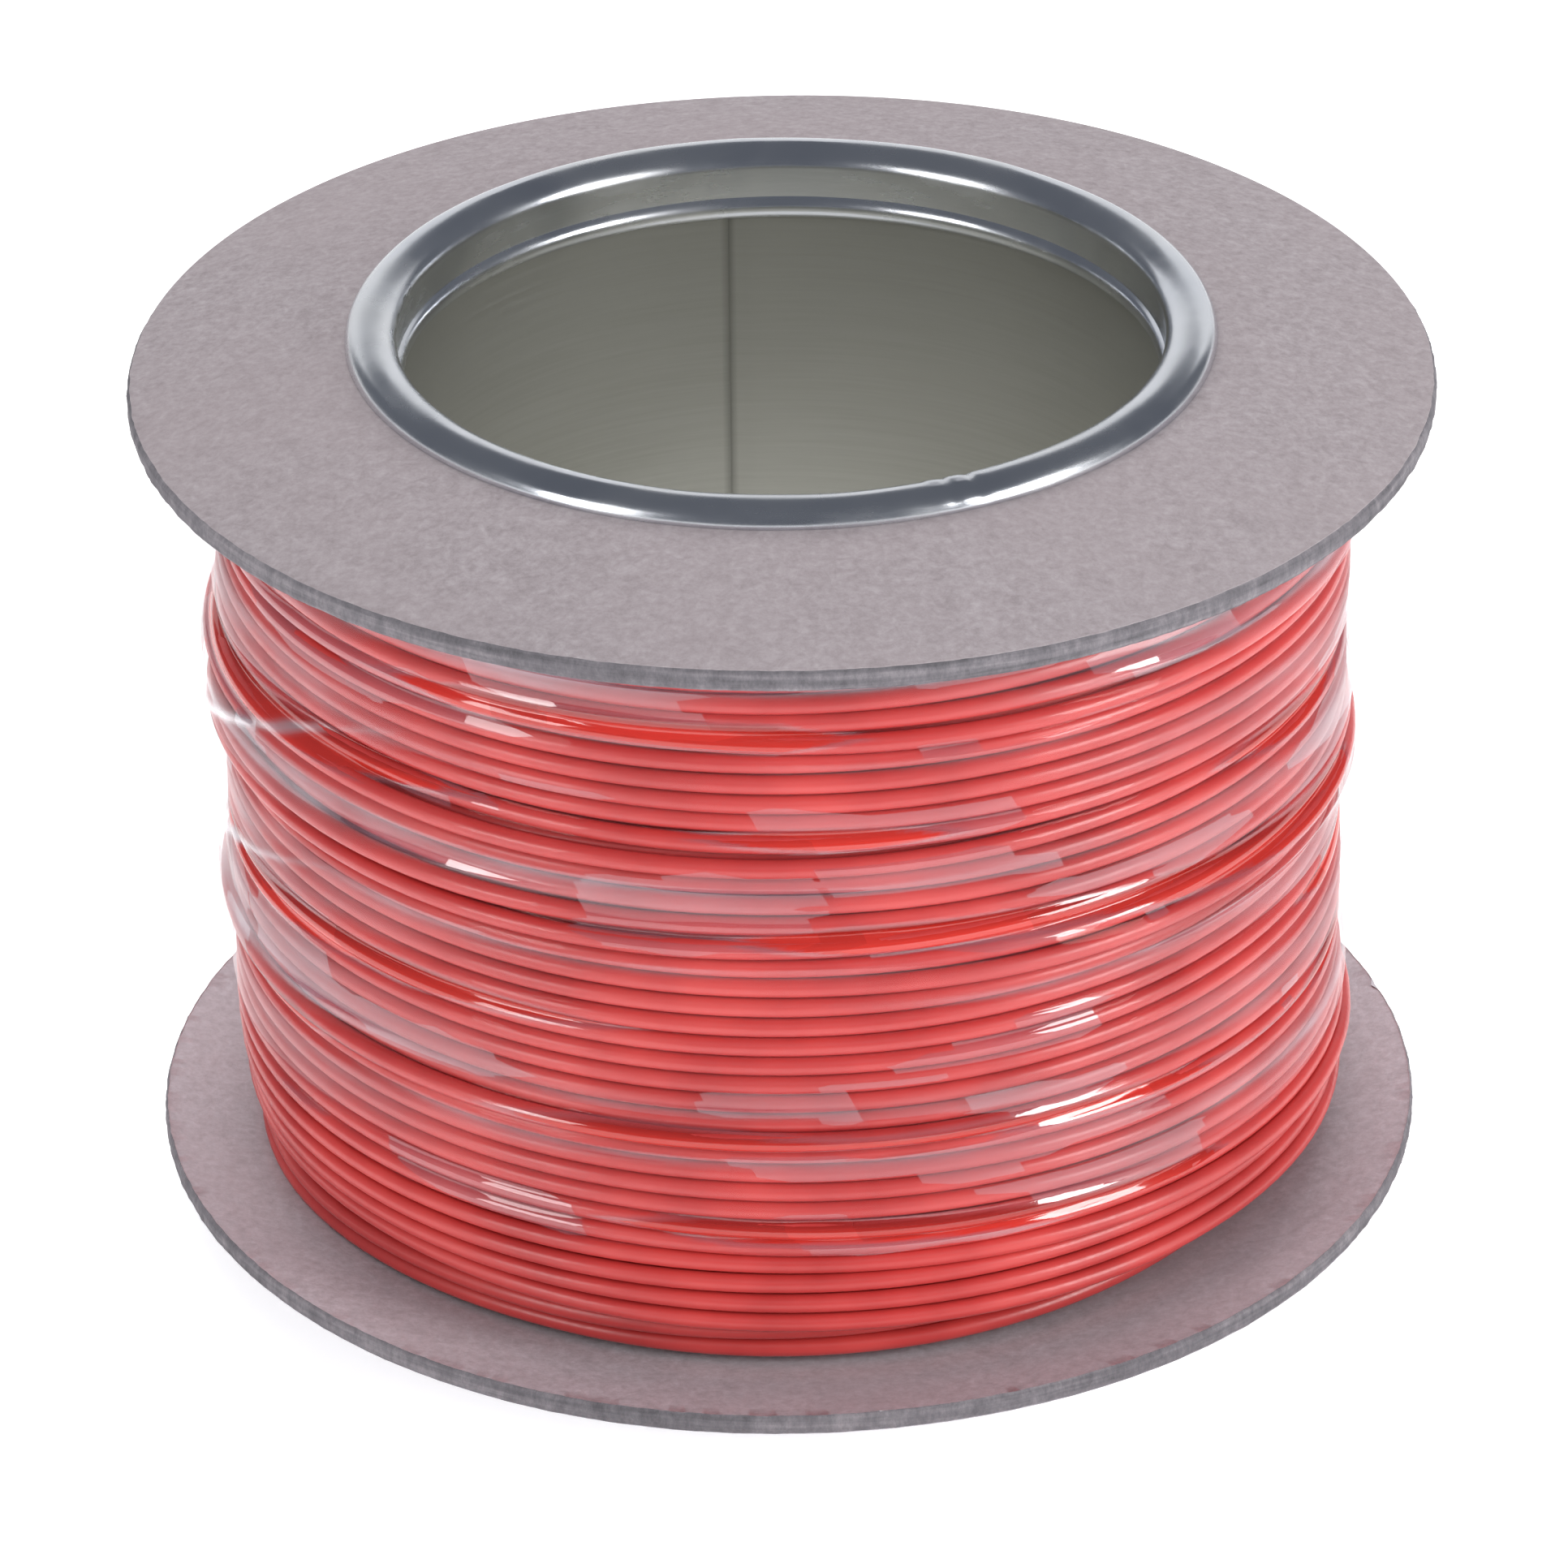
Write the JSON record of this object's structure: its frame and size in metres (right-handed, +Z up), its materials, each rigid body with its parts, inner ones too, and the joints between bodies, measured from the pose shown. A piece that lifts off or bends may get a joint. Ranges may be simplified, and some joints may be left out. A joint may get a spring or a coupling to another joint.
{
  "type": "wire spool",
  "caption": "Spool of insulated single-core wire: board flanges on a tinplate hub with rolled rims, the winding wrapped in clear stretch film.",
  "frame": {"origin": "centre of the lower rim's footprint, on the surface the spool stands on", "axes": "+Z up along the spool's axis, -Y towards the side the picture shows in front"},
  "size_m": [0.16, 0.16, 0.118],
  "materials": {
    "greyboard": "uncoated taupe grey board with a fine fibre grain and a darker cut edge",
    "tinplate": "bright rolled tinplate",
    "hub_tinplate": "dull satin tinplate sheet with a lapped seam",
    "red_pvc": "smooth red PVC insulation, satin gloss",
    "copper": "bare stranded copper, cut clean",
    "clear_film": "clear cling stretch film with pinkish white haze"
  },
  "bodies": {
    "root": {"flange_top": "greyboard", "flange_bottom": "greyboard", "ferrule_top": "tinplate", "ferrule_bottom": "tinplate", "hub_tube": "hub_tinplate", "wire_winding": "red_pvc", "wire_outer_end": "red_pvc", "wire_conductor_end": "copper", "stretch_film": "clear_film"}
  },
  "joints": []
}
